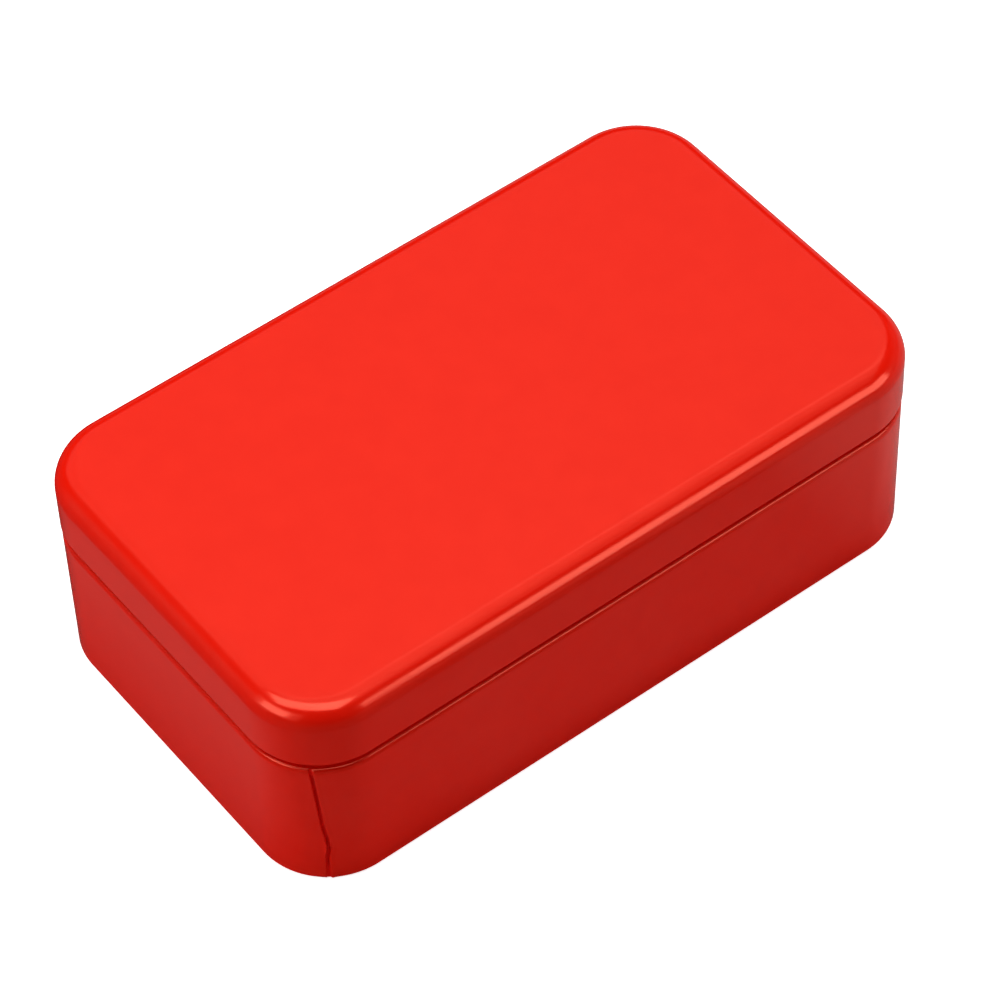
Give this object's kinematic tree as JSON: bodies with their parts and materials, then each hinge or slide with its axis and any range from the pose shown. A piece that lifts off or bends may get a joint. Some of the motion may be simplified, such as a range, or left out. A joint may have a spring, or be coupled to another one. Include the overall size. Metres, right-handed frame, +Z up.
{
  "type": "hinged card tin",
  "caption": "Rectangular lacquered tinplate tin with rounded corners, a drawn lid on wire hinges at the back and a folded wall seam, for holding cards.",
  "frame": {"origin": "middle of the bottom of the closed tin's box, hinge knuckles included, on the surface that it stands on", "axes": "+X along the long sides, +Y towards the hinges at the back, +Z up"},
  "size_m": [0.12, 0.0714, 0.0392],
  "materials": {
    "red_lacquer": "semi-gloss red lacquer over tinplate, bare metal inside",
    "bare_tinplate": "bright tinplate with a clear lacquer",
    "steel_wire": "plain drawn wire"
  },
  "bodies": {
    "body": {"body_wall": "red_lacquer", "base_panel": "bare_tinplate", "hinge_wire_left": "steel_wire", "hinge_wire_right": "steel_wire"},
    "lid": {"lid": "red_lacquer"}
  },
  "joints": [
    {"name": "lid_hinge", "type": "hinge", "parent": "body", "child": "lid", "pos_m": [0, 0.03485, 0.0271], "axis": [-1, 0, 0], "range_deg": [0, 180]}
  ]
}
